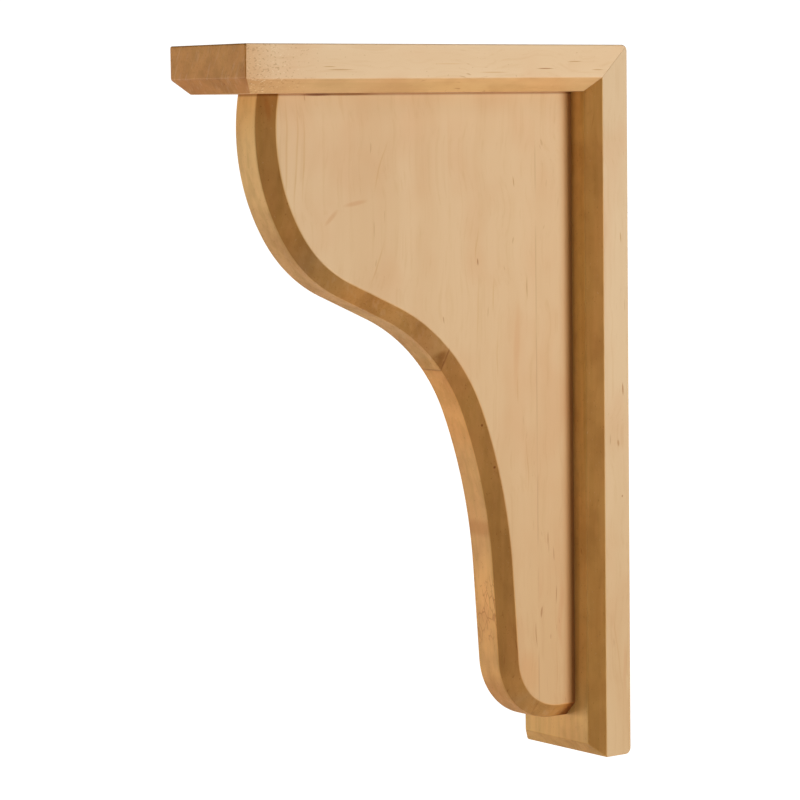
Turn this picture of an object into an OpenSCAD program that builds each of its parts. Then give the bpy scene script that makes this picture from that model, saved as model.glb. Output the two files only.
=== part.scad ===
// Wooden corbel bracket: a top board and a back board mitred together, and an S-curved
// scroll, glued up from three upright staves, that braces the corner between them.
//
// Frame: the wall is the plane Y = 0, the front faces -Y, +Z is up, and the origin is the
// centre of the wall face. All sizes are in millimetres.

/* [Overall] */
// Height, from the foot of the back board to the top of the top board
bracket_h = 305; // [260:1:380]
// Depth, from the wall to the front of the top board
bracket_d = 196; // [160:1:240]
// Width of both boards
bracket_w = 54; // [44:1:70]

/* [Boards] */
// Thickness of the top board and of the back board
board_t = 19.5; // [15:0.5:25]
// Leg of the 45 degree chamfer round the boards' exposed edges
board_chamfer = 5.75; // [3:0.25:8]
// Radius of the rounded corners at the wall, at the top and at the foot
wall_corner_r = 2.7; // [1:0.1:4]

/* [Scroll] */
// Thickness of the scroll, across the bracket
scroll_t = 25.8; // [20:0.2:32]
// Leg of the 45 degree chamfer along both sides of the scroll's curved edge
scroll_chamfer = 6.2; // [3:0.2:8]
// How far the nose stays behind the front of the top board
nose_setback = 17.6; // [8:0.2:26]
// How far the fullest point of the nose lies below the top board
nose_drop = 14.8; // [6:0.2:24]
// Radius of the nose
nose_r = 84; // [70:1:100]
// Slope below level at which the nose turns into the bell, in degrees
nose_end_slope = 58; // [50:1:66]
// Radius of the bell, as a share of the throat's
bell_share = 0.79; // [0.6:0.01:1]
// Slope of the straight flank between the bell and the throat, in degrees
flank_slope = 24; // [16:1:32]
// Length of the straight flank
flank_len = 26; // [10:1:36]
// Slope at which the throat turns into the long taper, in degrees
throat_end_slope = 68; // [60:1:74]
// Slope of the straight shank below the taper, in degrees
shank_slope = 86; // [80:1:88]
// Length of the straight shank
shank_len = 41; // [10:1:60]
// Depth of the scroll at the foot of the shank, in front of the back board
toe_depth = 37.2; // [32:0.2:46]
// Radius of the rounded toe
toe_r = 28.6; // [20:0.2:30]
// Height of the scroll's underside above the foot of the back board
toe_rise = 16.6; // [8:0.2:30]

/* [Staves] */
// Width of the rear stave, next to the back board
rear_stave_w = 20; // [12:0.5:30]
// Width of the middle stave
middle_stave_w = 46.6; // [30:0.5:60]

/* [Hidden] */
$fn = 96;

// How far a cutting shape runs past what it cuts
overrun = 1;

top_z = bracket_h / 2;
foot_z = -bracket_h / 2;
board_under_z = top_z - board_t;
board_front_y = -board_t;

// Where the staves meet
rear_seam_y = board_front_y - rear_stave_w;
middle_seam_y = rear_seam_y - middle_stave_w;

// ---- Boards ----

// Cross-section of a board: x is across the bracket, y runs inwards from the bearing face,
// and the two edges away from that face are chamfered
module board_section() {
    half = bracket_w / 2;
    polygon([
        [-half, 0], [-half, board_chamfer - board_t], [board_chamfer - half, -board_t],
        [half - board_chamfer, -board_t], [half, board_chamfer - board_t], [half, 0]
    ]);
}

// Fillet left outside a rounded corner at the origin that points to +X +Y
module corner_waste(r) {
    difference() {
        translate([-r, -r]) square(r + overrun);
        translate([-r, -r]) circle(r);
    }
}

// Side outline of the top board: x is depth from the wall, negative forwards; y is height
module top_board_side() {
    difference() {
        polygon([
            [0, top_z], [-bracket_d, top_z], [-bracket_d, board_under_z + board_chamfer],
            [board_chamfer - bracket_d, board_under_z], [board_front_y, board_under_z]
        ]);
        translate([0, top_z]) corner_waste(wall_corner_r);
    }
}

// Side outline of the back board, in the same plane
module back_board_side() {
    difference() {
        polygon([
            [0, top_z], [board_front_y, board_under_z], [board_front_y, foot_z + board_chamfer],
            [board_front_y + board_chamfer, foot_z], [0, foot_z]
        ]);
        translate([0, top_z]) corner_waste(wall_corner_r);
        translate([0, foot_z]) mirror([0, 1]) corner_waste(wall_corner_r);
    }
}

// Stands a side outline up and gives it a width across the bracket
module across(width) {
    rotate([90, 0, 90]) linear_extrude(width, center = true) children();
}

module top_board() {
    color([0.87, 0.74, 0.58])
    intersection() {
        across(bracket_w + 2 * overrun) top_board_side();
        translate([0, overrun, top_z]) rotate([90, 0, 0])
            linear_extrude(bracket_d + 2 * overrun) board_section();
    }
}

module back_board() {
    color([0.84, 0.70, 0.53])
    intersection() {
        across(bracket_w + 2 * overrun) back_board_side();
        translate([0, 0, foot_z - overrun]) linear_extrude(bracket_h + 2 * overrun) board_section();
    }
}

// ---- Scroll outline ----
// The curved edge runs from the top board down to the toe through arcs that are tangent to
// each other. Every arc is given by the angle of its outward normal, measured down from
// straight ahead, so a slope of 90 degrees (straight down) has a normal angle of 0.

function normal_angle(slope) = 90 - slope;
function aim(angle) = [-cos(angle), -sin(angle)];
function along(slope) = [cos(slope), -sin(slope)];

nose_a = normal_angle(nose_end_slope);
flank_a = normal_angle(flank_slope);
throat_a = normal_angle(throat_end_slope);
shank_a = normal_angle(shank_slope);

nose_tip = [nose_setback - bracket_d, board_under_z - nose_drop];
nose_centre = nose_tip - nose_r * aim(0);
nose_start_a = -asin((nose_drop + overrun) / (nose_r - scroll_chamfer));
nose_foot = nose_centre + nose_r * aim(nose_a);

toe_centre = [board_front_y - toe_depth - toe_r * aim(shank_a)[0], foot_z + toe_rise + toe_r];
shank_foot = toe_centre + toe_r * aim(shank_a);
shank_top = shank_foot - shank_len * along(shank_slope);

// The bell, the throat and the taper close the gap that the sizes above leave. Their
// radii come from two linear equations, one for the depth and one for the height.
gap = shank_top - nose_foot - flank_len * along(flank_slope);
per_throat_r = bell_share * (aim(flank_a) - aim(nose_a)) + aim(flank_a) - aim(throat_a);
per_taper_r = aim(throat_a) - aim(shank_a);
function cross2(a, b) = a[0] * b[1] - a[1] * b[0];
throat_r = cross2(gap, per_taper_r) / cross2(per_throat_r, per_taper_r);
taper_r = cross2(per_throat_r, gap) / cross2(per_throat_r, per_taper_r);
bell_r = bell_share * throat_r;

bell_centre = nose_foot - bell_r * aim(nose_a);
flank_top = bell_centre + bell_r * aim(flank_a);
flank_foot = flank_top + flank_len * along(flank_slope);
throat_centre = flank_foot + throat_r * aim(flank_a);
throat_foot = throat_centre - throat_r * aim(throat_a);
taper_centre = throat_foot + taper_r * aim(throat_a);

// ---- Scroll solid ----

// Degrees between the points of an arc
arc_step = 3;

// Points of an arc from one normal angle to another. An arc that carries on from the one
// before it skips its first point. A hollow arc, whose centre is in front of the wood, has
// a negative radius.
function arc_points(centre, radius, from, to, skip = 0) =
    let (n = ceil(abs(to - from) / arc_step))
    [for (i = [skip:n]) centre + radius * aim(from + (to - from) * i / n)];

// Curved edge of the scroll, or the line this far inside it, from a little above the
// underside of the top board down to the back board
function edge_line(inset) = concat(
    arc_points(nose_centre, nose_r - inset, nose_start_a, nose_a),
    arc_points(bell_centre, bell_r - inset, nose_a, flank_a, 1),
    arc_points(throat_centre, -throat_r - inset, flank_a, throat_a),
    arc_points(taper_centre, -taper_r - inset, throat_a, shank_a, 1),
    arc_points(toe_centre, toe_r - inset, shank_a, 90)
);

// The whole scroll, lying in its own plane. Four lines run along its curved edge, one at
// each face and two where the chamfers meet the flat, and each point of a line has a
// partner straight behind it, inside the back board.
module scroll_blank() {
    half = scroll_t / 2;
    faces_z = [-half, scroll_chamfer - half, half - scroll_chamfer, half];
    insets = [scroll_chamfer, 0, 0, scroll_chamfer];
    back_y = board_front_y + overrun;
    lines = [for (k = [0:3]) [for (p = edge_line(insets[k])) [p[0], p[1], faces_z[k]]]];
    n = len(lines[0]);
    function front(k, i) = 2 * (k * n + i);
    function back(k, i) = front(k, i) + 1;
    polyhedron(
        points = [for (line = lines, p = line) each [p, [back_y, p[1], p[2]]]],
        faces = concat(
            [for (i = [0:n - 2]) [front(0, i), front(0, i + 1), back(0, i + 1), back(0, i)]],
            [for (i = [0:n - 2]) [front(3, i), back(3, i), back(3, i + 1), front(3, i + 1)]],
            [for (k = [0:2], i = [0:n - 2])
                [front(k, i), front(k + 1, i), front(k + 1, i + 1), front(k, i + 1)]],
            [for (k = [0:2], i = [0:n - 2])
                [back(k, i), back(k, i + 1), back(k + 1, i + 1), back(k + 1, i)]],
            [for (k = [0:2]) [front(k, 0), back(k, 0), back(k + 1, 0), front(k + 1, 0)]],
            [for (k = [0:2])
                [front(k, n - 1), front(k + 1, n - 1), back(k + 1, n - 1), back(k, n - 1)]]
        )
    );
}

// One stave: the part of the scroll between two upright planes, cut off under the top board
module stave(front_y, rear_y) {
    rotate([90, 0, 90]) intersection() {
        scroll_blank();
        translate([front_y, foot_z, -scroll_t])
            cube([rear_y - front_y, board_under_z - foot_z, 2 * scroll_t]);
    }
}

module scroll_front_stave() {
    color([0.80, 0.62, 0.42]) stave(-bracket_d, middle_seam_y);
}

module scroll_middle_stave() {
    color([0.83, 0.67, 0.48]) stave(middle_seam_y, rear_seam_y);
}

module scroll_rear_stave() {
    color([0.86, 0.72, 0.54]) stave(rear_seam_y, board_front_y);
}

top_board();
back_board();
scroll_front_stave();
scroll_middle_stave();
scroll_rear_stave();
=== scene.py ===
"""Wooden corbel bracket: a top board and a back board mitred together, and an S-curved scroll,
glued up from three upright staves, that braces the corner between them.

Frame: the wall is the plane Y = 0, the front faces -Y, +Z is up, and X runs across the bracket.
Everything is in metres.
"""

import math
from collections import namedtuple

import bmesh
import bpy
from bpy.props import FloatProperty, FloatVectorProperty, PointerProperty
from mathutils import Matrix, Vector


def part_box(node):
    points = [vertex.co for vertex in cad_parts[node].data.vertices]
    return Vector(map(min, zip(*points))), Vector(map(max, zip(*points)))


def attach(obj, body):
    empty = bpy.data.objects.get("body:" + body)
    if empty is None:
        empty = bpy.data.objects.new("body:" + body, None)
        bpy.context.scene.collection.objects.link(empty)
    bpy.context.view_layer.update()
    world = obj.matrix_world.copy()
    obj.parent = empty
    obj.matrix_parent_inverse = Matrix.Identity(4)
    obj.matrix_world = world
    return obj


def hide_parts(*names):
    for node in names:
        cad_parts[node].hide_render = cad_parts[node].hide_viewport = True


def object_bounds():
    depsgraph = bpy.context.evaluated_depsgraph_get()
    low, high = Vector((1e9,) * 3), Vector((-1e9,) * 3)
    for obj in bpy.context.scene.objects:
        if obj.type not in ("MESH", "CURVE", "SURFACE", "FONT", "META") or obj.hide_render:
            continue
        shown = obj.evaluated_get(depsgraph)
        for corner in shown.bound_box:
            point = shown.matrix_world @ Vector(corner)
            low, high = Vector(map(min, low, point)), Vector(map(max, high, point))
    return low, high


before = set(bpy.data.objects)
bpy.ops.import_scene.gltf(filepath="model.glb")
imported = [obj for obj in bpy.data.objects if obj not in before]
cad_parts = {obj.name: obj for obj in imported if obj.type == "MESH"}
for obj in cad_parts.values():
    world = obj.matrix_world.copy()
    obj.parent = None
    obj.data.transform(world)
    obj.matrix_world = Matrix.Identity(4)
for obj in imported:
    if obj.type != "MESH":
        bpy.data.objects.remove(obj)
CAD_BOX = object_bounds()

bl_info = {
    "name": "Wooden Corbel Bracket",
    "version": (1, 0, 0),
    "blender": (4, 5, 0),
    "location": "3D View > Sidebar > Corbel",
    "description": "Models a mitred wooden shelf bracket with an S-curved scroll",
    "category": "Add Mesh",
}

MM = 0.001

LOW, HIGH = CAD_BOX
TOP_LOW, TOP_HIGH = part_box("top_board")
BACK_LOW, BACK_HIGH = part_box("back_board")
REAR_STAVE_LOW, REAR_STAVE_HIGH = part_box("scroll_rear_stave")

# Faces that the pieces share, from the frame
WALL_Y = HIGH.y
FRONT_Y = LOW.y
BOARD_FRONT_Y = BACK_LOW.y
BOARD_UNDER_Z = TOP_LOW.z
MIDDLE_SEAM_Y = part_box("scroll_front_stave")[1].y
REAR_SEAM_Y = REAR_STAVE_LOW.y
TOE_Z = REAR_STAVE_LOW.z
SCROLL_HALF_WIDTH = REAR_STAVE_HIGH.x

# Axes of a point
Y, Z = 1, 2

# How far a shape runs past the plane that cuts it
OVERRUN = 1 * MM
# Two points closer than this are in the same place
TOUCH = 0.01 * MM
# How far from a cutting plane a point counts as being on it
HAIR = 0.001 * MM

# Edges that turn by more than this are sharp
SHARP_ANGLE = math.radians(30)
# Angle between two rings of the scroll's curved edge
ARC_STEP = math.radians(1.5)
# How many strips make up a round
ARRIS_SEGMENTS = 3
FRONT_CORNER_SEGMENTS = 6
WALL_CORNER_SEGMENTS = 8


# ---- Sizes and finishes that a user may change ----


def number(name, description, default, **limits):
    return FloatProperty(name=name, description=description, default=default, **limits)


def length(name, description, default):
    """A length in metres, shown in the scene's unit."""
    return number(name, description, default, unit="LENGTH", min=0)


def slope(name, description, degrees):
    """An angle, shown in degrees."""
    return number(name, description, math.radians(degrees), unit="ROTATION")


def share(name, description, default):
    """A number from 0 to 1."""
    return number(name, description, default, min=0, max=1, subtype="FACTOR")


def colour(name, description, default):
    """A linear colour."""
    return FloatVectorProperty(
        name=name, description=description, default=default, size=3, min=0, max=1, subtype="COLOR"
    )


class BoardSizes(bpy.types.PropertyGroup):
    chamfer: length("Chamfer", "Leg of the 45 degree chamfer round the exposed edges", 5.75 * MM)
    wall_corner: length("Wall Corner", "Radius of the rounded corners at the wall", 2.7 * MM)
    front_corner: length("Front Corner", "Width of the round at the front upright edges", 0.7 * MM)
    arris: length("Arris", "Width of the sanded easing on every sharp edge", 0.5 * MM)
    glue_line: length("Glue Line", "Width of the hairline at the mitre", 0.08 * MM)


class ScrollSizes(bpy.types.PropertyGroup):
    chamfer: length("Chamfer", "Leg of the chamfer along both sides of the curved edge", 6.2 * MM)
    arris: length("Arris", "Width of the sanded easing along the chamfers", 0.6 * MM)
    nose_setback: length("Nose Setback", "From the top board's front back to the nose", 17.6 * MM)
    nose_drop: length("Nose Drop", "From the top board down to the nose's fullest point", 14.8 * MM)
    nose_radius: length("Nose Radius", "Radius of the nose", 84 * MM)
    nose_end: slope("Nose End", "Slope at which the nose turns into the bell", 58)
    bell_share: share("Bell Share", "Radius of the bell as a share of the throat's", 0.79)
    flank_slope: slope("Flank Slope", "Slope of the straight flank", 24)
    flank_length: length("Flank Length", "Length of the straight flank", 26 * MM)
    throat_end: slope("Throat End", "Slope at which the throat turns into the taper", 68)
    shank_slope: slope("Shank Slope", "Slope of the straight shank", 86)
    shank_length: length("Shank Length", "Length of the straight shank", 41 * MM)
    toe_depth: length("Toe Depth", "Depth at the foot of the shank, from the back board", 37.2 * MM)
    toe_radius: length("Toe Radius", "Radius of the rounded toe", 28.6 * MM)


# ---- Modelling by hand ----


def start_piece(name):
    """Names the primitive that was just added, and applies its place and size."""
    piece = bpy.context.object
    piece.name = name
    piece.data.name = name
    bpy.ops.object.transform_apply(location=True, rotation=True, scale=True)
    return piece


def deselect_objects():
    bpy.ops.object.select_all(action="DESELECT")


def add_block(name, low, high):
    """A block between two corners, open for editing."""
    deselect_objects()
    bpy.ops.mesh.primitive_cube_add(size=1, location=(low + high) / 2, scale=high - low)
    piece = start_piece(name)
    bpy.ops.object.mode_set(mode="EDIT")
    return piece


def select(mode, test):
    """Selects the points (VERT) or the edges (EDGE) of the open piece that pass the test."""
    bpy.ops.mesh.select_mode(type=mode)
    bpy.ops.mesh.select_all(action="DESELECT")
    mesh = bmesh.from_edit_mesh(bpy.context.object.data)
    for part in mesh.verts if mode == "VERT" else mesh.edges:
        part.select = test(part)
    mesh.select_flush_mode()
    bmesh.update_edit_mesh(bpy.context.object.data)


def at_least(axis, limit):
    """A test of whether a point lies at a limit along an axis, or past it."""
    return lambda co: co[axis] > limit - TOUCH


def at_most(axis, limit):
    return lambda co: co[axis] < limit + TOUCH


def ends_are(edge, test):
    return all(test(vert.co) for vert in edge.verts)


def is_sharp(edge):
    return len(edge.link_faces) == 2 and edge.calc_face_angle() > SHARP_ANGLE


def round_edges(test, width, segments):
    """Bevels the edges that pass the test. One segment makes a chamfer."""
    select("EDGE", test)
    bpy.ops.mesh.bevel(
        offset=width, offset_type="OFFSET", segments=segments, profile=0.5, affect="EDGES"
    )


def cut_corners(test, width, segments):
    """Bevels the points of the open profile that pass the test."""
    select("VERT", lambda vert: test(vert.co))
    bpy.ops.mesh.bevel(offset=width, offset_type="OFFSET", segments=segments, affect="VERTICES")


def cut_away(point, outwards):
    """Cuts the piece by a plane, drops what lies outwards of it and closes the cut."""
    bpy.ops.mesh.select_all(action="SELECT")
    bpy.ops.mesh.bisect(
        plane_co=point, plane_no=Vector(outwards).normalized(), use_fill=True, clear_outer=True,
        threshold=HAIR,
    )


def finish_piece(piece, node, material):
    """Leaves edit mode, shades the piece and puts it in the CAD node's place."""
    bpy.ops.mesh.select_all(action="SELECT")
    bpy.ops.mesh.normals_make_consistent(inside=False)
    bpy.ops.object.mode_set(mode="OBJECT")
    bpy.ops.object.shade_smooth_by_angle(angle=SHARP_ANGLE)
    weighted = piece.modifiers.new("Flat Faces", "WEIGHTED_NORMAL")
    weighted.keep_sharp = True
    bpy.ops.object.modifier_apply(modifier=weighted.name)
    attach(piece, "root")
    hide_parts(node)
    piece.data.materials.append(material)


# ---- Boards ----


def mitre(sizes, side):
    """Cuts the open board on the slant through the corner that the two boards share. The side
    is 1 for the board above the cut, which is the top board, and -1 for the one below it."""
    slant = side * Vector((0, TOP_HIGH.z - BOARD_UNDER_Z, BOARD_FRONT_Y - WALL_Y)).normalized()
    corner = Vector((0, WALL_Y, TOP_HIGH.z))
    cut_away(corner - sizes.glue_line / 2 * slant, slant)


class CORBEL_OT_top_board(bpy.types.Operator):
    """Models the flat board under the shelf, chamfered round its underside"""

    bl_idname = "corbel.top_board"
    bl_label = "Add Top Board"

    def execute(self, context):
        sizes = context.scene.corbel_boards
        low, high = Vector(TOP_LOW), Vector(TOP_HIGH)
        high.y = WALL_Y
        piece = add_block("Top_Board", low, high)
        at_wall = at_least(Y, high.y)

        def chamfered(edge):
            return ends_are(edge, at_most(Z, low.z)) and not ends_are(edge, at_wall)

        def at_wall_corner(edge):
            return ends_are(edge, at_wall) and ends_are(edge, at_least(Z, high.z))

        def upright_at_front(edge):
            at_side = ends_are(edge, lambda co: abs(co.x) > high.x - TOUCH)
            return at_side and ends_are(edge, at_most(Y, low.y))

        round_edges(chamfered, sizes.chamfer, 1)
        round_edges(at_wall_corner, sizes.wall_corner, WALL_CORNER_SEGMENTS)
        round_edges(upright_at_front, sizes.front_corner, FRONT_CORNER_SEGMENTS)
        round_edges(is_sharp, sizes.arris, ARRIS_SEGMENTS)
        mitre(sizes, 1)
        finish_piece(piece, "top_board", wood(
            "Top_Board_Wood", context.scene.corbel_top_finish, turn=(math.pi / 2, 0, 0),
            underside=0.6, marks=TOP_BOARD_MARKS, is_top=True,
        ))
        return {"FINISHED"}


class CORBEL_OT_back_board(bpy.types.Operator):
    """Models the flat board against the wall, chamfered along its front and at its foot"""

    bl_idname = "corbel.back_board"
    bl_label = "Add Back Board"

    def execute(self, context):
        sizes = context.scene.corbel_boards
        low, high = Vector(BACK_LOW), Vector(BACK_HIGH)
        high.z = TOP_HIGH.z
        piece = add_block("Back_Board", low, high)
        at_top = at_least(Z, high.z)

        def chamfered(edge):
            return ends_are(edge, at_most(Y, low.y)) and not ends_are(edge, at_top)

        def at_wall_corner(edge):
            at_end = ends_are(edge, at_top) or ends_are(edge, at_most(Z, low.z))
            return at_end and ends_are(edge, at_least(Y, high.y))

        round_edges(chamfered, sizes.chamfer, 1)
        round_edges(at_wall_corner, sizes.wall_corner, WALL_CORNER_SEGMENTS)
        round_edges(is_sharp, sizes.arris, ARRIS_SEGMENTS)
        mitre(sizes, -1)
        finish_piece(piece, "back_board", wood(
            "Back_Board_Wood", context.scene.corbel_back_finish, shift=(0.3, 0, 0),
            underside=0.5, marks=BACK_BOARD_MARKS, nook=SCROLL_HALF_WIDTH,
        ))
        return {"FINISHED"}


# ---- Scroll ----
# The curved edge runs from the top board down to the toe through arcs and straights that are
# tangent to each other. A point of its outline is (depth, height). An angle is that of the
# outward normal, measured down from straight ahead, so a slope of 90 degrees has the angle 0.


def aim(angle):
    return Vector((-math.cos(angle), -math.sin(angle)))


def along(slope_angle):
    return Vector((math.cos(slope_angle), -math.sin(slope_angle)))


def normal_angle(slope_angle):
    return math.pi / 2 - slope_angle


def cross(a, b):
    return a.x * b.y - a.y * b.x


def scroll_stretches(sizes):
    """The stretches of the curved edge, from the nose to the toe: an arc is (centre, from
    angle, to angle) and a straight is (run,)."""
    nose = normal_angle(sizes.nose_end)
    flank = normal_angle(sizes.flank_slope)
    throat = normal_angle(sizes.throat_end)
    shank = normal_angle(sizes.shank_slope)
    toe = math.pi / 2
    deepest = sizes.chamfer + OVERRUN

    nose_tip = Vector((FRONT_Y + sizes.nose_setback, BOARD_UNDER_Z - sizes.nose_drop))
    nose_centre = nose_tip - sizes.nose_radius * aim(0)
    start = -math.asin((sizes.nose_drop + OVERRUN) / (sizes.nose_radius - deepest))
    nose_foot = nose_centre + sizes.nose_radius * aim(nose)

    toe_front = BOARD_FRONT_Y - sizes.toe_depth
    toe_centre = Vector((toe_front - sizes.toe_radius * aim(shank).x, TOE_Z + sizes.toe_radius))
    shank_step = sizes.shank_length * along(sizes.shank_slope)
    shank_top = toe_centre + sizes.toe_radius * aim(shank) - shank_step

    # The bell, the throat and the taper close the gap between the nose and the shank. Their
    # radii come from two linear equations, one for the depth and one for the height.
    flank_step = sizes.flank_length * along(sizes.flank_slope)
    gap = shank_top - nose_foot - flank_step
    per_throat = sizes.bell_share * (aim(flank) - aim(nose)) + aim(flank) - aim(throat)
    per_taper = aim(throat) - aim(shank)
    throat_radius = cross(gap, per_taper) / cross(per_throat, per_taper)
    taper_radius = cross(per_throat, gap) / cross(per_throat, per_taper)
    bell_radius = sizes.bell_share * throat_radius

    bell_centre = nose_foot - bell_radius * aim(nose)
    flank_foot = bell_centre + bell_radius * aim(flank) + flank_step
    throat_centre = flank_foot + throat_radius * aim(flank)
    taper_centre = throat_centre + (taper_radius - throat_radius) * aim(throat)
    return [
        (nose_centre, start, nose),
        (bell_centre, nose, flank),
        (flank_step,),
        (throat_centre, flank, throat),
        (taper_centre, throat, shank),
        (shank_step,),
        (toe_centre, shank, toe),
    ]


def add_edge_profile(sizes, width, centre, angle):
    """The cross-section of the curved edge at its start, open for editing: a flat with a
    chamfer on each side, and a short return down each face."""
    deep = sizes.chamfer + OVERRUN
    outer = centre + sizes.nose_radius * aim(angle)
    middle = outer - deep / 2 * aim(angle)
    deselect_objects()
    bpy.ops.mesh.primitive_plane_add(
        size=1, location=(0, middle.x, middle.y), rotation=(math.pi + angle, 0, 0)
    )
    bpy.context.object.scale = (width, deep, 1)
    piece = start_piece("Scroll")
    bpy.ops.object.mode_set(mode="EDIT")

    def inset(co):
        return (outer - Vector((co.y, co.z))).dot(aim(angle))

    cut_corners(lambda co: inset(co) < TOUCH, sizes.chamfer, 1)
    cut_corners(lambda co: inset(co) < deep - TOUCH, sizes.arris, ARRIS_SEGMENTS)
    bpy.ops.mesh.select_all(action="SELECT")
    bpy.ops.mesh.delete(type="ONLY_FACE")
    select("EDGE", lambda edge: ends_are(edge, lambda co: inset(co) > deep - TOUCH))
    bpy.ops.mesh.delete(type="EDGE")
    return piece


def sweep(stretches):
    """Carries the selected profile along the stretches."""
    for stretch in stretches:
        if len(stretch) == 1:
            run = stretch[0]
            bpy.ops.mesh.extrude_region_move(TRANSFORM_OT_translate={"value": (0, run.x, run.y)})
            continue
        centre, start, end = stretch
        # Spin turns clockwise about its axis
        bpy.ops.mesh.spin(
            steps=math.ceil(abs(end - start) / ARC_STEP), angle=start - end,
            center=(0, centre.x, centre.y), axis=(1, 0, 0),
        )


def fill_back(top_z):
    """Draws the open rim of the swept edge back into a solid block, and closes it."""
    back_y = BOARD_FRONT_Y + OVERRUN
    at_back = at_least(Y, back_y)

    def on_rim(edge):
        is_open = len(edge.link_faces) == 1
        return is_open and min(vert.co.z for vert in edge.verts) < top_z - TOUCH

    select("EDGE", on_rim)
    bpy.ops.mesh.extrude_region_move()
    bpy.ops.transform.resize(value=(1, 0, 1), center_override=(0, back_y, 0))
    mesh = bmesh.from_edit_mesh(bpy.context.object.data)
    at_top = at_least(Z, max(vert.co.z for vert in mesh.verts if at_back(vert.co)))
    select("VERT", lambda vert: at_back(vert.co) and at_top(vert.co))
    bpy.ops.mesh.edge_face_add()
    for side in (at_back, at_top):
        select("EDGE", lambda edge: len(edge.link_faces) < 2 and ends_are(edge, side))
        bpy.ops.mesh.edge_face_add()


class CORBEL_OT_scroll(bpy.types.Operator):
    """Models the S-curved scroll and parts it into its three glued staves"""

    bl_idname = "corbel.scroll"
    bl_label = "Add Scroll Staves"

    def execute(self, context):
        sizes = context.scene.corbel_scroll
        stretches = scroll_stretches(sizes)
        nose_centre, start = stretches[0][:2]
        piece = add_edge_profile(sizes, 2 * SCROLL_HALF_WIDTH, nose_centre, start)
        bpy.ops.mesh.select_all(action="SELECT")
        sweep(stretches)
        fill_back(BOARD_UNDER_Z + OVERRUN)
        bpy.ops.mesh.select_all(action="SELECT")
        bpy.ops.mesh.normals_make_consistent(inside=False)
        cut_away((0, 0, BOARD_UNDER_Z), (0, 0, 1))
        cut_away((0, BOARD_FRONT_Y, 0), (0, 1, 0))
        bpy.ops.object.mode_set(mode="OBJECT")
        self.add_stave(piece, "scroll_front_stave", [(MIDDLE_SEAM_Y, 1)])
        self.add_stave(piece, "scroll_middle_stave", [(MIDDLE_SEAM_Y, -1), (REAR_SEAM_Y, 1)])
        self.add_stave(piece, "scroll_rear_stave", [(REAR_SEAM_Y, -1)])
        bpy.data.objects.remove(piece)
        return {"FINISHED"}

    def add_stave(self, scroll, node, seams):
        """Copies the whole scroll and cuts it at its seams. A seam is where it lies, and 1 if
        what is behind it goes or -1 if what is in front of it goes."""
        deselect_objects()
        stave = scroll.copy()
        stave.data = scroll.data.copy()
        stave.name = node.title()
        stave.data.name = stave.name
        bpy.context.collection.objects.link(stave)
        bpy.context.view_layer.objects.active = stave
        stave.select_set(True)
        bpy.ops.object.mode_set(mode="EDIT")
        for seam_y, side in seams:
            cut_away((0, seam_y, 0), (0, side, 0))
        finish_piece(stave, node, stave_wood(node))


# ---- Wood ----


class NodeSheet:
    """Adds nodes to a material or a node group, and joins them by name."""

    def __init__(self, tree):
        self.tree = tree

    def add(self, kind, settings=None, **inputs):
        """Adds a node. An input is given by its name, with spaces as underscores, or as in_0,
        in_1 and so on, and is a value or the socket that feeds it."""
        node = self.tree.nodes.new(kind)
        for name, value in (settings or {}).items():
            setattr(node, name, value)
        for name, value in inputs.items():
            key = int(name[3:]) if name.startswith("in_") else name.replace("_", " ")
            self.feed(node.inputs[key], value)
        return node

    def feed(self, socket, value):
        if isinstance(value, bpy.types.NodeSocket):
            self.tree.links.new(value, socket)
        else:
            socket.default_value = value

    def group(self, make, **inputs):
        """Places a shared node group and returns its outputs."""
        return self.add("ShaderNodeGroup", {"node_tree": shared_group(make)}, **inputs).outputs

    def operate(self, kind, operation, values):
        inputs = {f"in_{place}": value for place, value in enumerate(values)}
        return self.add(kind, {"operation": operation}, **inputs).outputs

    def math(self, operation, *values):
        return self.operate("ShaderNodeMath", operation, values)[0]

    def vector_math(self, operation, *values):
        return self.operate("ShaderNodeVectorMath", operation, values)

    def times(self, a, b):
        return self.math("MULTIPLY", a, b)

    def without(self, mask):
        """0 where the mask is 1, and 1 where it is 0."""
        return self.math("SUBTRACT", 1.0, mask)

    def split(self, vector):
        return self.add("ShaderNodeSeparateXYZ", Vector=vector).outputs

    def mapped(self, vector, location=(0, 0, 0), turn=(0, 0, 0), scale=(1, 1, 1)):
        return self.add(
            "ShaderNodeMapping", Vector=vector, Location=location, Rotation=turn, Scale=scale
        ).outputs[0]

    def noise(self, vector, kind):
        return self.add(
            "ShaderNodeTexNoise", Vector=self.mapped(vector, scale=kind.rate), Scale=1.0,
            Detail=kind.detail, Roughness=kind.roughness,
        ).outputs["Fac"]

    def patches(self, vector, kind):
        """Where a noise is high."""
        return self.ramp(self.noise(vector, kind), kind.low, kind.high)

    def ramp(self, value, low, high):
        """0 below low and 1 above high, with a smooth step between. Low may be the greater."""
        smooth = {"interpolation_type": "SMOOTHSTEP"}
        node = self.add("ShaderNodeMapRange", smooth, Value=value, From_Min=low, From_Max=high)
        return node.outputs[0]

    def mix(self, factor, a, b, blend="MIX"):
        settings = {"data_type": "RGBA", "blend_type": blend}
        return self.add("ShaderNodeMix", settings, in_0=factor, in_6=a, in_7=b).outputs[2]


SHARED_GROUPS = {}


def shared_group(make):
    """The node group that a function makes, made once."""
    if make not in SHARED_GROUPS:
        SHARED_GROUPS[make] = make()
    return SHARED_GROUPS[make]


FLOAT, VECTOR = "NodeSocketFloat", "NodeSocketVector"


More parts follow.
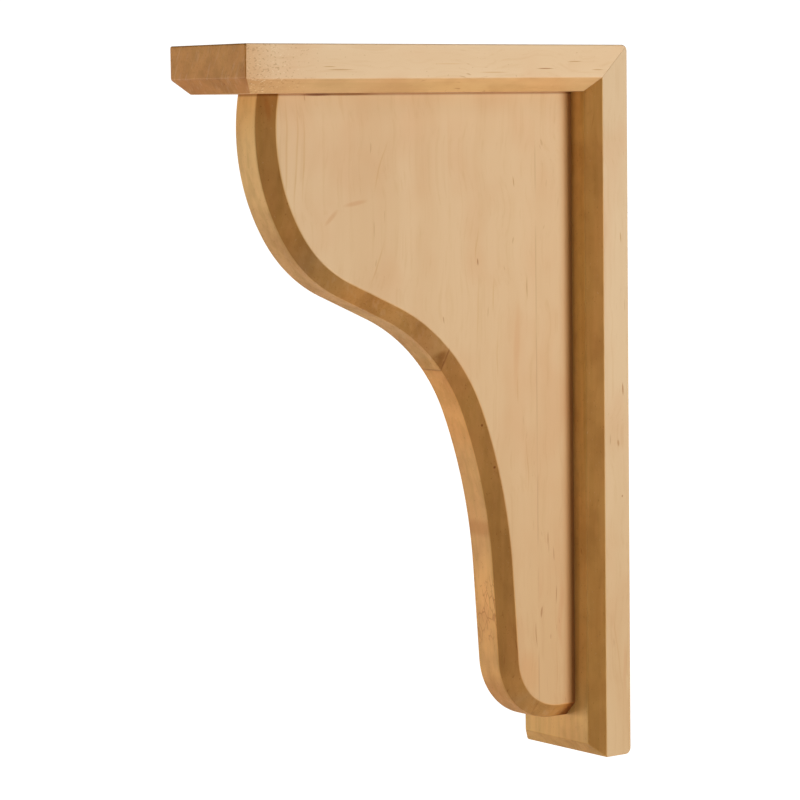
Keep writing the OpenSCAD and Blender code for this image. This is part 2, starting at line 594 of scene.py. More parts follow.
def new_group(name, **inputs):
    """An empty shader node group, and what it is given. Each input has its kind."""
    group = bpy.data.node_groups.new(name, "ShaderNodeTree")
    for socket, kind in inputs.items():
        group.interface.new_socket(name=socket, in_out="INPUT", socket_type=kind)
    sheet = NodeSheet(group)
    return sheet, sheet.add("NodeGroupInput").outputs


def close_group(sheet, kind=FLOAT, **outputs):
    """Makes and feeds the outputs of a node group, all of one kind, and returns the group."""
    for name in outputs:
        socket = name.replace("_", " ")
        sheet.tree.interface.new_socket(name=socket, in_out="OUTPUT", socket_type=kind)
    sheet.add("NodeGroupOutput", **outputs)
    return sheet.tree


# A noise: its features per metre, across the grain both ways and along it, the values between
# which it comes to show, and how much fine detail it has and how strong
Noise = namedtuple("Noise", "rate low high detail roughness", defaults=(2.0, 0.5))

SWAY = Noise((16, 16, 32), 0.0, 1.0, 1.0)
BANDS = Noise((60, 60, 2.2), 0.35, 0.7, 3.0)
LINES = Noise((620, 620, 12), 0.5, 0.75, 2.0, 0.6)
PORES = Noise((760, 760, 85), 0.76, 0.84, 0.0)
PORE_FIELDS = Noise((46, 46, 18), 0.5, 0.66, 1.0)
BLOTCHES = Noise((48, 48, 30), 0.42, 0.7)
END_PORES = Noise((1500, 1500, 900), 0.56, 0.7, 1.0)
RAYS = Noise((800, 300, 130), 0.52, 0.74, 1.0)
MOTTLE = Noise((75, 75, 45), 0.42, 0.68, 3.0, 0.6)
STREAKS = Noise((210, 210, 7), 0.42, 0.62, 3.0, 0.6)
DARK_SPECKS = Noise((1500, 1500, 900), 0.66, 0.76, 1.0)
LIGHT_SPECKS = Noise((1500, 1500, 900), 0.68, 0.80, 1.0)
VEIN_PARTS = Noise((300, 300, 160), 0.46, 0.56, 1.0)
SEAM_PARTS = Noise((60, 60, 40), 0.35, 0.6, 1.0)

# Light specks are the dark ones' noise, this far away in it
LIGHT_SPECKS_AWAY = (0.37, 0.21, 0.53)

# The crackle: cells per metre, their scale each way, and how far from a cell's border a vein
# starts to show and shows in full
CRACKLE_RATE = 420.0
CRACKLE_SCALE = (1, 1, 0.45)
VEIN_FROM, VEIN_TO = 0.09, 0.02

# How much of a mark and of a seam is at full strength
MARK_CORE = 0.3
SEAM_CORE = 0.2
SEAM_WIDTH = 0.45 * MM

# How far things wander sideways
GRAIN_SWAY = 12 * MM
MARK_SWAY = 8 * MM

RAY_LEAN = math.radians(-28)


def sway_group():
    """Moves a place sideways a little, by its height, so that what is drawn there wanders."""
    sheet, given = new_group("Sway", Vector=VECTOR, Amount=FLOAT)
    sway = sheet.math("SUBTRACT", sheet.noise(given["Vector"], SWAY), 0.5)
    step = sheet.vector_math("SCALE", (1.0, 1.0, 0.0))[0]
    sheet.feed(step.node.inputs["Scale"], sheet.times(sway, given["Amount"]))
    return close_group(sheet, VECTOR, Vector=sheet.vector_math("ADD", given["Vector"], step)[0])


def grain_group():
    """Long grain, with the vector in metres and its Z along the grain: broad growth bands,
    fine lines, sparse dark pores, soft blotches, and the relief of the lines."""
    sheet, given = new_group("Long Grain", Vector=VECTOR)
    place = sheet.group(sway_group, Vector=given["Vector"], Amount=GRAIN_SWAY)[0]
    relief = sheet.noise(place, LINES)
    return close_group(
        sheet,
        Bands=sheet.patches(place, BANDS),
        Lines=sheet.ramp(relief, LINES.low, LINES.high),
        Pores=sheet.times(sheet.patches(place, PORES), sheet.patches(place, PORE_FIELDS)),
        Blotches=sheet.patches(given["Vector"], BLOTCHES),
        Relief=relief,
    )


def end_grain_group():
    """Cut ends of the fibres: speckled pores, and light rays that lean across them."""
    sheet, given = new_group("End Grain", Vector=VECTOR)
    pores = sheet.patches(given["Vector"], END_PORES)
    leaning = sheet.mapped(given["Vector"], turn=(0, RAY_LEAN, 0))
    return close_group(sheet, Pores=pores, Rays=sheet.patches(leaning, RAYS))


def worked_group():
    """Where the wood was cut, not sanded: its fronts and undersides, and of them the slants
    towards a side; and the slants under the front, which take painted shade."""
    sheet, given = new_group("Worked Edges", Normal=VECTOR, Underside=FLOAT)
    normal = sheet.split(given["Normal"])
    forwards = sheet.ramp(sheet.times(normal["Y"], -1.0), 0.1, 0.6)
    downwards = sheet.ramp(sheet.times(normal["Z"], -1.0), 0.1, 0.6)
    underneath = sheet.times(downwards, given["Underside"])
    sideways = sheet.times(normal["X"], normal["X"])
    slant = sheet.times(sideways, sheet.without(sideways))
    return close_group(
        sheet,
        Worked=sheet.math("MAXIMUM", forwards, underneath),
        Slanted=sheet.ramp(slant, 0.1, 0.24),
        # Faces that look forward and down, for painted shade
        Undercut=sheet.ramp(sheet.times(normal["Y"], normal["Z"]), 0.2, 0.45),
    )


def cut_surface_group():
    """What a cutter leaves: broad mottling, streaks and fine specks, dark ones and light ones,
    which the density adds to."""
    sheet, given = new_group("Cut Surface", Vector=VECTOR, Density=FLOAT)
    here = given["Vector"]

    def specks(place, kind):
        thick = sheet.math("ADD", sheet.noise(place, kind), given["Density"])
        return sheet.ramp(thick, kind.low, kind.high)

    return close_group(
        sheet,
        Mottle=sheet.patches(here, MOTTLE),
        Streaks=sheet.patches(here, STREAKS),
        Dark_Specks=specks(here, DARK_SPECKS),
        Light_Specks=specks(sheet.mapped(here, location=LIGHT_SPECKS_AWAY), LIGHT_SPECKS),
    )


def crackle_group():
    """Fine branching veins."""
    sheet, given = new_group("Crackle", Vector=VECTOR)
    drawn_out = sheet.mapped(given["Vector"], scale=CRACKLE_SCALE)
    cells = sheet.add(
        "ShaderNodeTexVoronoi", {"feature": "DISTANCE_TO_EDGE"}, Vector=drawn_out,
        Scale=CRACKLE_RATE,
    )
    veins = sheet.ramp(cells.outputs["Distance"], VEIN_FROM, VEIN_TO)
    parts = sheet.patches(given["Vector"], VEIN_PARTS)
    return close_group(sheet, Mask=sheet.times(veins, parts))


def mark_group():
    """One soft-edged oval mark: where it is, half its size each way, and how far it leans."""
    sheet, given = new_group("Mark", Vector=VECTOR, Place=VECTOR, Reach=VECTOR, Lean=FLOAT)
    offset = sheet.vector_math("SUBTRACT", given["Vector"], given["Place"])[0]
    leant = sheet.add(
        "ShaderNodeVectorRotate", {"rotation_type": "X_AXIS"}, Vector=offset, Angle=given["Lean"]
    ).outputs[0]
    away = sheet.vector_math("DIVIDE", leant, given["Reach"])[0]
    distance = sheet.vector_math("LENGTH", away)["Value"]
    return close_group(sheet, Mask=sheet.ramp(distance, 1.0, MARK_CORE))


def seam_group():
    """The hairline where two staves meet, which comes and goes along its length."""
    sheet, given = new_group("Seam", Vector=VECTOR, Depth=FLOAT)
    off = sheet.math("SUBTRACT", sheet.split(given["Vector"])["Y"], given["Depth"])
    line = sheet.ramp(sheet.math("ABSOLUTE", off), SEAM_WIDTH, SEAM_WIDTH * SEAM_CORE)
    parts = sheet.patches(given["Vector"], SEAM_PARTS)
    return close_group(sheet, Mask=sheet.times(line, parts))


# Tones that a colour is multiplied by
# Painted shade: the faces darken and warm towards the foot, where the light falls off
PAINTED_FOOT_SHADE = (0.85, 0.79, 0.69)
BAND_TONE = (0.94, 0.90, 0.85)
LINE_TONE = (0.86, 0.76, 0.64)
PINK_TONE = (0.97, 0.90, 0.86)
RUDDY_TONE = (0.93, 0.83, 0.78)
PORE_TONE = (0.60, 0.42, 0.28)
FINE_PORE_TONE = (0.76, 0.64, 0.50)
STREAK_TONE = (0.94, 0.88, 0.80)
DARK_TONE = (0.50, 0.34, 0.22)
# Painted shade on the slants under the front
UNDERSIDE_PAINTED_SHADE = (0.80, 0.75, 0.76)
MOTTLE_TONE = (0.80, 0.76, 0.68)
STREAKED_TONE = (0.86, 0.86, 0.74)
SPECK_TONE = (0.62, 0.50, 0.36)
FRONT_SHADE = (0.91, 0.81, 0.70)
JOINT_SHADE = (0.91, 0.91, 0.88)
CORNER_SHADE = (0.70, 0.50, 0.28)
NOOK_SHADE = (0.82, 0.78, 0.74)
# Painted fill light on the back board's front, in the scroll's shadow
SHADOWED_FRONT_PAINTED_FILL = (1.17, 1.25, 1.45)

# Colours of light specks and of the rays in end grain
LIGHT_SPECK = (0.88, 0.70, 0.45, 1)
RAY_COLOUR = (0.85, 0.62, 0.38, 1)

# How strongly things show
LINE_STRENGTH = 0.35
PORE_STRENGTH = 0.6
DARK_SPECK_STRENGTH = 0.55
LIGHT_SPECK_STRENGTH = 0.12
TOP_LIGHT_SPECK_STRENGTH = 0.45
END_PORE_STRENGTH = 0.3
RAY_STRENGTH = 0.11
CONTACT_SHADOW_STRENGTH = 0.8
BUMP_STRENGTH = 0.12

# Heights between which the faces take a warm painted shade towards the foot, where the
# light falls off, and how much less the worked edges take it
FOOT_SHADE_FROM_Z = 0.10
FOOT_SHADE_TO_Z = -0.15
FOOT_SHADE_WORKED_LOSS = 0.85

# Depths between which the top board's specks thicken towards its front end, and how much
SPECKS_FROM_Y = FRONT_Y + 46 * MM
SPECKS_TO_Y = FRONT_Y + 4 * MM
FRONT_SPECK_DENSITY = 0.15
REAR_SPECK_DENSITY = -0.06
SPECK_DENSITY = -0.01

FRONT_SHADE_DEPTH = 16 * MM
BUMP_DEPTH = 0.05 * MM

WOOD_ROUGHNESS = 0.6
WOOD_SPECULAR = 0.22


def empty_material(name):
    material = bpy.data.materials.new(name)
    material.use_nodes = True
    material.node_tree.nodes.clear()
    return material


class WoodSheet(NodeSheet):
    """A planed, unfinished wood. Its colour starts from the finish, and each step shades it."""

    def __init__(self, name, finish, edge, underside, is_top):
        self.material = empty_material(name)
        super().__init__(self.material.node_tree)
        self.finish = finish
        where = self.add("ShaderNodeTexCoord").outputs
        self.place, self.normal = where["Object"], where["Normal"]
        self.axes = self.split(self.place)
        work = self.group(worked_group, Normal=self.normal, Underside=underside)
        self.worked, self.undercut, slanted = work["Worked"], work["Undercut"], work["Slanted"]
        if is_top:
            # Its upright corners are rounded, not chamfered
            downwards = self.times(self.split(self.normal)["Z"], -1.0)
            slanted = self.times(slanted, self.ramp(downwards, 0.3, 0.6))
        self.surfaces = {
            "face": self.without(self.worked),
            "edge": self.times(self.worked, self.without(slanted)),
            "chamfer": self.times(self.worked, slanted),
        }
        face, edge, chamfer = ((*c, 1) for c in (finish.face, edge, finish.chamfer))
        self.base = self.mix(self.worked, face, self.mix(slanted, edge, chamfer))

    def tint(self, mask, tone, amount=1.0):
        """Multiplies the colour by a tone, as far as the mask and the amount say."""
        self.base = self.mix(self.times(mask, amount), self.base, (*tone, 1), "MULTIPLY")

    def shade_by_form(self):
        """Paints warm shade on the faces towards the foot, where the light falls off, and paints
        shade on the slants under the front.
        """
        near_foot = self.ramp(self.axes["Z"], FOOT_SHADE_FROM_Z, FOOT_SHADE_TO_Z)
        kept = self.math("MULTIPLY_ADD", self.worked, -FOOT_SHADE_WORKED_LOSS, 1.0)
        # Painted shade towards the foot
        self.tint(self.times(near_foot, kept), PAINTED_FOOT_SHADE)
        # Painted shade on the slants under the front
        self.tint(self.undercut, UNDERSIDE_PAINTED_SHADE)

    def draw_grain(self, laid):
        """Draws the long grain and returns its relief."""
        figure = self.finish.figure
        grain = self.group(grain_group, Vector=laid)
        self.tint(grain["Bands"], BAND_TONE, figure)
        self.tint(grain["Lines"], LINE_TONE, figure * LINE_STRENGTH)
        self.tint(grain["Blotches"], PINK_TONE, figure)
        self.tint(grain["Pores"], PORE_TONE, PORE_STRENGTH)
        return grain["Relief"]

    def draw_cut_surface(self, laid, is_top):
        """Draws what the cutter left on the worked edges. The top board's specks lie on its
        sides instead, thickest towards the front."""
        speckled, density, light_strength = self.worked, SPECK_DENSITY, LIGHT_SPECK_STRENGTH
        if is_top:
            sideways = self.math("ABSOLUTE", self.split(self.normal)["X"])
            speckled = self.ramp(sideways, 0.3, 0.65)
            forwards = self.times(self.ramp(self.axes["Y"], SPECKS_FROM_Y, SPECKS_TO_Y), speckled)
            density = self.math("MULTIPLY_ADD", forwards, FRONT_SPECK_DENSITY, REAR_SPECK_DENSITY)
            light_strength = TOP_LIGHT_SPECK_STRENGTH
        cut = self.group(cut_surface_group, Vector=laid, Density=density)
        mottling = self.finish.mottling
        self.tint(self.times(cut["Mottle"], self.worked), MOTTLE_TONE, mottling)
        self.tint(self.times(cut["Streaks"], self.worked), STREAKED_TONE, mottling)
        self.tint(self.times(cut["Dark Specks"], speckled), SPECK_TONE, DARK_SPECK_STRENGTH)
        light = self.times(cut["Light Specks"], speckled)
        self.base = self.mix(self.times(light, light_strength), self.base, LIGHT_SPECK)

    def shade_front(self):
        """Darkens the sides a little towards the front end."""
        near_front = self.ramp(self.axes["Y"], FRONT_Y + FRONT_SHADE_DEPTH, FRONT_Y)
        self.tint(self.times(near_front, self.surfaces["face"]), FRONT_SHADE)

    def draw_end_grain(self, turn):
        """Shows the ends of the fibres, where a surface goes across them."""
        across = self.split(self.mapped(self.normal, turn=turn))["Z"]
        cut_end = self.ramp(self.math("ABSOLUTE", across), 0.35, 0.9)
        ends = self.group(end_grain_group, Vector=self.place)
        self.tint(self.times(cut_end, ends["Pores"]), PORE_TONE, END_PORE_STRENGTH)
        rays = self.times(cut_end, ends["Rays"])
        self.base = self.mix(self.times(rays, RAY_STRENGTH), self.base, RAY_COLOUR)

    def oval(self, mark, vector):
        return self.group(
            mark_group, Vector=vector, Place=(0, mark.depth * MM, mark.height * MM),
            Reach=(1, mark.half_width * MM, mark.half_length * MM), Lean=math.radians(mark.lean),
        )["Mask"]

    def draw_marks(self, marks):
        wandering = self.group(sway_group, Vector=self.place, Amount=MARK_SWAY)[0]
        for mark in marks:
            self.tint(self.oval(mark, wandering), mark.tone, self.surfaces[mark.surface])

    def draw_seams(self, seams):
        for seam in seams:
            more = seam.on_edges - seam.on_faces
            shown = self.math("MULTIPLY_ADD", self.worked, more, seam.on_faces)
            line = self.group(seam_group, Vector=self.place, Depth=seam.y)
            self.tint(line["Mask"], DARK_TONE, shown)

    def shade_joints(self):
        """Painted contact shadow and painted shade where the scroll meets the top board, and
        painted shadow where it meets the back board.
        """
        height, depth = self.axes["Z"], self.axes["Y"]
        # Painted contact shadow: a dark line just under the top board
        contact_line = self.ramp(height, BOARD_UNDER_Z - 1.3 * MM, BOARD_UNDER_Z - 0.5 * MM)
        self.tint(contact_line, DARK_TONE, CONTACT_SHADOW_STRENGTH)
        self.tint(self.ramp(height, BOARD_UNDER_Z - 14 * MM, BOARD_UNDER_Z), JOINT_SHADE)
        corner = self.ramp(depth, BOARD_FRONT_Y - 8 * MM, BOARD_FRONT_Y - 1.2 * MM)
        self.tint(corner, CORNER_SHADE)

    def draw_crackle(self, field):
        """Draws fine veins inside an oval."""
        veins = self.group(crackle_group, Vector=self.place)["Mask"]
        crackle = self.times(self.oval(field, self.place), veins)
        self.tint(crackle, field.tone, self.surfaces[field.surface])

    def shade_nook(self, half_width):
        """Paints shade on the front beside the scroll, and paints fill light on the front above the
        toe, where the scroll's shadow falls, which makes it paler than at the foot.
        """
        front = self.surfaces["edge"]
        above_toe = self.ramp(self.axes["Z"], TOE_Z - 2 * MM, TOE_Z + 12 * MM)
        off = self.math("ABSOLUTE", self.axes["X"])
        beside = self.ramp(off, half_width + 5 * MM, half_width + 0.5 * MM)
        self.tint(self.times(above_toe, beside), NOOK_SHADE, front)
        # Painted fill light in the scroll's shadow
        self.tint(above_toe, SHADOWED_FRONT_PAINTED_FILL, front)

    def close(self, relief):
        """Joins the colour to a shader and returns the material."""
        bump = self.add(
            "ShaderNodeBump", Height=relief, Strength=BUMP_STRENGTH, Distance=BUMP_DEPTH
        )
        shader = self.add(
            "ShaderNodeBsdfPrincipled", Base_Color=self.base, Roughness=WOOD_ROUGHNESS,
            Specular_IOR_Level=WOOD_SPECULAR, Normal=bump.outputs[0],
        )
        self.add("ShaderNodeOutputMaterial", Surface=shader.outputs[0])
        return self.material


def wood(
    name, finish, turn=(0, 0, 0), shift=(0, 0, 0), edge=None, underside=1.0, marks=(), seams=(),
    is_top=False, crackle=None, nook=None,
):
    """The wood of one piece. Turn lays the grain, which is upright by itself. Underside is how
    cut the undersides look, and nook is half the width of the scroll in front."""
    sheet = WoodSheet(name, finish, edge or finish.edge, underside, is_top)
    laid = sheet.mapped(sheet.place, location=shift, turn=turn)
    sheet.shade_by_form()
    relief = sheet.draw_grain(laid)
    sheet.draw_cut_surface(laid, is_top)
    if is_top:
        sheet.shade_front()
    sheet.draw_end_grain(turn)
    sheet.draw_marks(marks)
    if seams:
        sheet.draw_seams(seams)
        sheet.shade_joints()
    if crackle:
        sheet.draw_crackle(crackle)
    if nook:
        sheet.shade_nook(nook)
    return sheet.close(relief)


def figure_share(default):
    return share("Figure", "How strongly the grain shows", default)


def mottling_share(default):
    return share("Mottling", "How uneven the cut fronts and chamfers are", default)


class TopBoardFinish(bpy.types.PropertyGroup):
    face: colour("Face", "Colour of the sanded faces", (0.79, 0.58, 0.36))
    edge: colour("End", "Colour of the front end", (0.60, 0.28, 0.07))
    chamfer: colour("Chamfer", "Colour of the chamfers", (0.52, 0.252, 0.051))
    figure: figure_share(0.8)
    mottling: mottling_share(0.7)


class BackBoardFinish(bpy.types.PropertyGroup):
    face: colour("Face", "Colour of the sanded faces", (0.695, 0.505, 0.305))
    edge: colour("Front", "Colour of the front", (0.71, 0.40, 0.112))
    chamfer: colour("Chamfer", "Colour of the chamfers", (0.56, 0.28, 0.075))
    figure: figure_share(0.8)
    mottling: mottling_share(0.75)


class ScrollFinish(bpy.types.PropertyGroup):
    face: colour("Face", "Colour of the sanded faces", (0.69, 0.475, 0.268))
    nose: colour("Nose", "Colour of the curved edge of the front stave", (0.77, 0.45, 0.145))
    edge: colour("Edge", "Colour of the curved edge below it", (0.70, 0.36, 0.108))
    chamfer: colour("Chamfer", "Colour of the chamfers", (0.47, 0.222, 0.056))
    figure: figure_share(0.7)
    mottling: mottling_share(0.75)

# A mark on a piece, in the wood unless noted as painted shade or light: where its middle
# is and half its size, in millimetres, the tone it multiplies by, how far it leans in
# degrees, and the surface it shows on
Mark = namedtuple(
    "Mark", "depth height half_width half_length tone lean surface", defaults=(0, "face")
)

# A seam between staves: where it lies, and how strongly it shows on faces and on worked edges
Seam = namedtuple("Seam", "y on_faces on_edges")

TOP_BOARD_MARKS = (
    Mark(-150.5, 142.2, 8, 0.3, FINE_PORE_TONE),
    Mark(-156, 143.4, 4, 0.25, FINE_PORE_TONE),
    Mark(-45, 142.5, 6, 0.3, PORE_TONE),
    Mark(-29, 145.4, 4.5, 0.3, FINE_PORE_TONE),
    Mark(-17, 142, 4, 0.3, FINE_PORE_TONE),
    Mark(-96, 144.5, 10, 0.3, STREAK_TONE),
    Mark(-72, 141, 9, 0.3, LINE_TONE),
    Mark(-70, 136, 62, 12, (1.09, 1.04, 0.94), 0, "chamfer"),
)
FRONT_STAVE_MARKS = (
    Mark(-167, 108, 0.7, 30, STREAK_TONE),
    Mark(-162, 108, 0.6, 30, STREAK_TONE, 2),
    Mark(-158.5, 108, 0.6, 24, STREAK_TONE),
    Mark(-146, 83, 1.2, 6, RUDDY_TONE, 50),
    Mark(-134, 88.5, 1.3, 7, RUDDY_TONE, 80),
    # Painted contact shadow: the dark line under the top board, darker near the front
    Mark(-151, 132.5, 9, 0.8, DARK_TONE),
    Mark(-137, 132.6, 20, 0.8, (0.62, 0.50, 0.32)),
    Mark(-121, 103, 0.5, 14, STREAK_TONE, 20),
    Mark(-123, 63, 0.5, 12, STREAK_TONE, 16),
    Mark(-150, 60, 24, 24, (0.78, 0.80, 0.78), 0, "chamfer"),
    Mark(-178, 122, 14, 24, (1.10, 1.15, 1.22), 0, "chamfer"),
    Mark(-104, 33, 30, 20, (0.90, 0.92, 0.98), 0, "chamfer"),
    # Painted shade: more shade on the slants under the front of the front stave
    Mark(-125, 45, 75, 62, (0.88, 0.87, 1.00), 0, "edge"),
    Mark(-174.5, 127, 1.2, 7, (0.92, 0.80, 0.70), 0, "chamfer"),
    Mark(-178, 122, 14, 24, (1.04, 1.08, 1.15), 0, "edge"),
    Mark(-88.5, 22.5, 3.2, 6.5, (0.77, 0.70, 0.56), 50, "chamfer"),
    Mark(-87.2, 24, 1.9, 3.2, (0.80, 0.70, 0.55), 0, "chamfer"),
    Mark(-86.8, 19.8, 1.9, 3.2, (0.76, 0.66, 0.50), 0, "chamfer"),
    Mark(-88, 20, 5, 8, (1.03, 0.97, 0.84), 50, "edge"),
)
MIDDLE_STAVE_MARKS = (
    Mark(-51.5, 95.5, 0.35, 3, FINE_PORE_TONE),
    Mark(-71.5, 70, 0.5, 9, STREAK_TONE),
    Mark(-70.5, 62.5, 0.4, 2, PORE_TONE),
    Mark(-70.5, 42, 0.4, 17, STREAK_TONE),
    Mark(-60, 22, 0.4, 12, STREAK_TONE),
    Mark(-63, 48, 0.5, 10, STREAK_TONE),
    Mark(-49, 8, 0.6, 8, STREAK_TONE),
    Mark(-45, 51, 0.35, 6, FINE_PORE_TONE),
    Mark(-46, -25, 0.4, 16, STREAK_TONE),
    Mark(-42, -98, 0.4, 7, FINE_PORE_TONE),
    Mark(-50, 27, 2.2, 24, PINK_TONE),
    Mark(-47, -116, 9, 15, (0.99, 0.92, 0.85)),
    Mark(-61.5, -52, 3, 6, (0.86, 0.76, 0.62), 15, "edge"),
    Mark(-59, -88, 14, 34, (1.22, 1.22, 1.14), 0, "edge"),
    Mark(-46, -130, 20, 12, (0.88, 0.90, 0.90), 0, "chamfer"),
    # Painted light: lightens the middle stave's curved edge, where the painted shade under the
    # front is too dark
    Mark(-80, 2, 28, 28, (1.20, 1.17, 1.06), 0, "edge"),
    Mark(-68.5, -6.3, 0.5, 0.8, DARK_TONE, 0, "chamfer"),
    Mark(-62, -24.5, 0.5, 0.8, DARK_TONE, 0, "chamfer"),
)
REAR_STAVE_MARKS = (
    Mark(-39, -4.5, 0.35, 4, FINE_PORE_TONE),
    Mark(-31.3, -115, 0.4, 13, STREAK_TONE),
    Mark(-33.5, -57, 0.4, 4, FINE_PORE_TONE),
    Mark(-28, -90, 2, 22, PINK_TONE),
    Mark(-38, -132, 18, 12, (0.88, 0.90, 0.90), 0, "chamfer"),
)
BACK_BOARD_MARKS = (
    Mark(-3.5, 71, 0.4, 3, FINE_PORE_TONE),
    Mark(-4, 6, 0.45, 3.5, PORE_TONE),
    Mark(-5.9, -17, 0.8, 2, FINE_PORE_TONE),
    Mark(-4.3, -40, 0.5, 0.7, PORE_TONE),
    Mark(-8, -105, 0.4, 23, STREAK_TONE, -8),
    Mark(-3.6, -115, 1.4, 16, PINK_TONE),
)

# Where the scroll's shank is crackled
CRACKLE_FIELD = Mark(-59, -88, 8, 22, FINE_PORE_TONE, 0, "edge")


def stave_wood(node):
    """The scroll's wood, with the marks and seams of one stave."""
    finish = bpy.context.scene.corbel_scroll_finish
    looks = {
        "scroll_front_stave": {
            "edge": finish.nose,
            "marks": FRONT_STAVE_MARKS,
            "seams": [Seam(MIDDLE_SEAM_Y, 0.0, 0.8)],
        },
        "scroll_middle_stave": {
            "shift": (0.4, 0, 0),
            "marks": MIDDLE_STAVE_MARKS,
            "seams": [Seam(MIDDLE_SEAM_Y, 0.0, 0.4), Seam(REAR_SEAM_Y, 0.28, 0.3)],
            "crackle": CRACKLE_FIELD,
        },
        "scroll_rear_stave": {
            "shift": (0.9, 0, 0),
            "marks": REAR_STAVE_MARKS,
            "seams": [Seam(REAR_SEAM_Y, 0.22, 0.3)],
        },
    }
    return wood(node.title() + "_Wood", finish, **looks[node])


# ---- Studio ----

# A soft light: where it comes from, in degrees round the bracket and above the horizon, and its
# width and height
Softbox = namedtuple("Softbox", "name azimuth elevation width height")

# The lights, by the setting that holds their power
SOFTBOXES = {
    "front_light": Softbox("Front Light", -45, -12, 0.5, 0.5),
    "side_light": Softbox("Side Light", 112, -10, 0.55, 0.65),
    "rear_light": Softbox("Rear Light", 225, 45, 0.7, 0.7),
}
LIGHT_DISTANCE = 1.6

WHITE = (1, 1, 1, 1)
FLOOR_SIZE = 40
FLOOR_COLOUR = (0.9, 0.9, 0.9, 1)
FLOOR_ROUGHNESS = 0.9
# How much the floor glows, and how much more where the camera sees it
FLOOR_GLOW = 0.1
FLOOR_GLOW_SEEN = 0.95
FILL_COLOUR = (1.0, 0.86, 0.7, 1)
SURROUND_STRENGTH = 1.1


class StudioSettings(bpy.types.PropertyGroup):
    azimuth: slope("Azimuth", "Camera's angle round the bracket, from straight in front", 53.0)
    elevation: slope("Elevation", "Camera's angle above the horizon", 5.06)
    roll: slope("Roll", "Turn of the camera about its line of sight", -0.69)
    distance: length("Distance", "From the camera to the point it looks at", 1347 * MM)
    lens: number("Lens", "Focal length in millimetres", 145.44)
    aim_point: FloatVectorProperty(
        name="Aim Point", description="The point that the camera looks at", subtype="XYZ",
        unit="LENGTH", default=(-1.65 * MM, -101.36 * MM, 5.63 * MM),
    )
    floor_drop: length("Floor Drop", "From the foot of the bracket down to the floor", 0.6)
    front_light: number("Front Light", "Power of the light at the front left", 15)
    side_light: number("Side Light", "Power of the light at the right", 19.2)
    rear_light: number("Rear Light", "Power of the light behind and above", 9)
    sky: number("Sky", "Strength of the light from all round", 0.161)


def facing(azimuth, elevation):
    """Direction from the bracket towards a place round it. Azimuth 0 is straight in front."""
    level = math.cos(elevation)
    return Vector((math.sin(azimuth) * level, -math.cos(azimuth) * level, math.sin(elevation)))


def add_softbox(box, power):
    """A soft rectangular light that looks at the middle of the bracket."""
    light = bpy.data.lights.new(box.name, "AREA")
    light.shape = "RECTANGLE"
    light.size = box.width
    light.size_y = box.height
    light.energy = power
    softbox = bpy.data.objects.new(box.name, light)
    bpy.context.collection.objects.link(softbox)
    back = facing(math.radians(box.azimuth), math.radians(box.elevation))
    softbox.location = (LOW + HIGH) / 2 + LIGHT_DISTANCE * back
    softbox.rotation_euler = back.to_track_quat("Z", "Y").to_euler()
    softbox.visible_camera = False


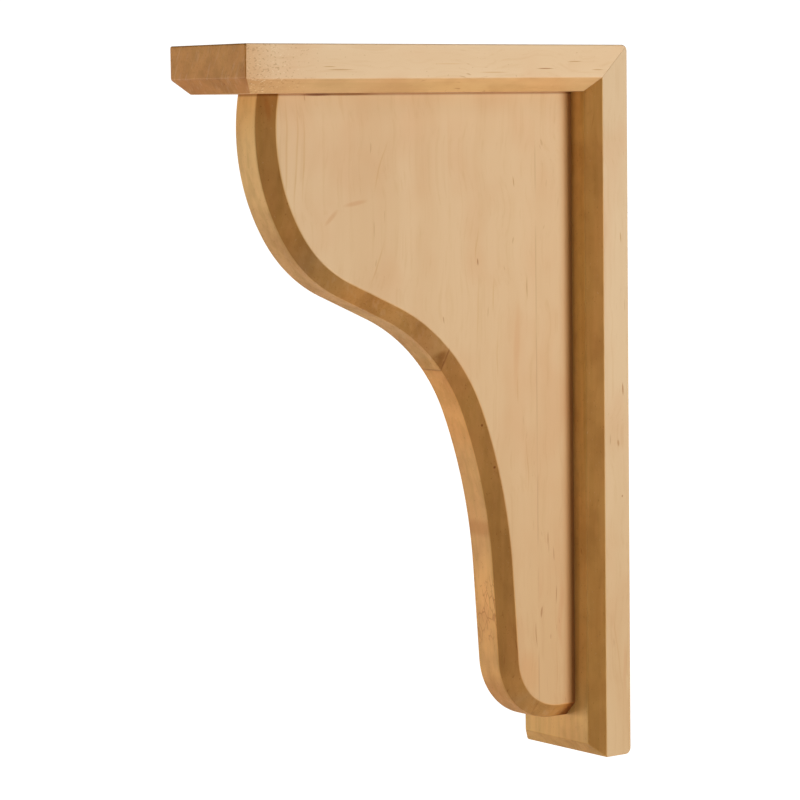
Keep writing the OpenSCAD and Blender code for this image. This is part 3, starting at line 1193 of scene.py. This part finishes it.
class CORBEL_OT_studio(bpy.types.Operator):
    """Sets the camera, the soft lights, the pale floor and the white surround"""

    bl_idname = "corbel.studio"
    bl_label = "Set Up Studio"

    def execute(self, context):
        settings = context.scene.corbel_studio
        self.add_camera(context, settings)
        self.add_floor(settings)
        self.set_sky(context, settings)
        for setting, box in SOFTBOXES.items():
            add_softbox(box, getattr(settings, setting))
        context.scene.view_settings.view_transform = "Standard"
        return {"FINISHED"}

    def add_camera(self, context, settings):
        camera = bpy.data.objects.new("Camera", bpy.data.cameras.new("Camera"))
        camera.data.lens = settings.lens
        turn = (
            Matrix.Rotation(settings.azimuth, 4, "Z")
            @ Matrix.Rotation(math.pi / 2 - settings.elevation, 4, "X")
            @ Matrix.Rotation(settings.roll, 4, "Z")
        )
        back = facing(settings.azimuth, settings.elevation)
        place = Vector(settings.aim_point) + settings.distance * back
        camera.matrix_world = Matrix.Translation(place) @ turn
        context.collection.objects.link(camera)
        context.scene.camera = camera

    def add_floor(self, settings):
        """A pale floor that is almost white where the camera sees it."""
        deselect_objects()
        bpy.ops.mesh.primitive_plane_add(
            size=FLOOR_SIZE, location=(0, 0, LOW.z - settings.floor_drop)
        )
        floor = start_piece("Floor")
        material = empty_material("Pale Floor")
        sheet = NodeSheet(material.node_tree)
        seen = sheet.add("ShaderNodeLightPath").outputs["Is Camera Ray"]
        shader = sheet.add(
            "ShaderNodeBsdfPrincipled", Base_Color=FLOOR_COLOUR, Roughness=FLOOR_ROUGHNESS,
            Emission_Color=WHITE,
            Emission_Strength=sheet.math("MULTIPLY_ADD", seen, FLOOR_GLOW_SEEN, FLOOR_GLOW),
        )
        sheet.add("ShaderNodeOutputMaterial", Surface=shader.outputs[0])
        floor.data.materials.append(material)

    def set_sky(self, context, settings):
        """White where the camera sees it, and a weak warm light on everything else."""
        world = bpy.data.worlds.new("Surround")
        context.scene.world = world
        world.use_nodes = True
        world.node_tree.nodes.clear()
        sheet = NodeSheet(world.node_tree)
        seen = sheet.add("ShaderNodeLightPath").outputs["Is Camera Ray"]
        fill = sheet.add("ShaderNodeBackground", Color=FILL_COLOUR, Strength=settings.sky)
        white = sheet.add("ShaderNodeBackground", Color=WHITE, Strength=SURROUND_STRENGTH)
        mixed = sheet.add(
            "ShaderNodeMixShader", in_0=seen, in_1=fill.outputs[0], in_2=white.outputs[0]
        )
        sheet.add("ShaderNodeOutputWorld", Surface=mixed.outputs[0])


class CORBEL_PT_panel(bpy.types.Panel):
    """Lists the steps that build the bracket, and its sizes and finishes"""

    bl_label = "Corbel Bracket"
    bl_idname = "CORBEL_PT_panel"
    bl_space_type = "VIEW_3D"
    bl_region_type = "UI"
    bl_category = "Corbel"

    def draw(self, context):
        for step in STEPS:
            self.layout.operator(step.bl_idname)
        for name in SETTINGS:
            box = self.layout.box()
            group = getattr(context.scene, name)
            for key in group.bl_rna.properties.keys():
                if key not in ("rna_type", "name"):
                    box.prop(group, key)


STEPS = (CORBEL_OT_studio, CORBEL_OT_top_board, CORBEL_OT_back_board, CORBEL_OT_scroll)
SETTINGS = {
    "corbel_boards": BoardSizes,
    "corbel_scroll": ScrollSizes,
    "corbel_top_finish": TopBoardFinish,
    "corbel_back_finish": BackBoardFinish,
    "corbel_scroll_finish": ScrollFinish,
    "corbel_studio": StudioSettings,
}
CLASSES = (*SETTINGS.values(), *STEPS, CORBEL_PT_panel)


def register():
    for cls in CLASSES:
        bpy.utils.register_class(cls)
    for name, group in SETTINGS.items():
        setattr(bpy.types.Scene, name, PointerProperty(type=group))


def unregister():
    for name in SETTINGS:
        delattr(bpy.types.Scene, name)
    for cls in reversed(CLASSES):
        bpy.utils.unregister_class(cls)


def main():
    register()
    bpy.ops.corbel.studio()
    bpy.ops.corbel.top_board()
    bpy.ops.corbel.back_board()
    bpy.ops.corbel.scroll()


if __name__ == "__main__":
    main()
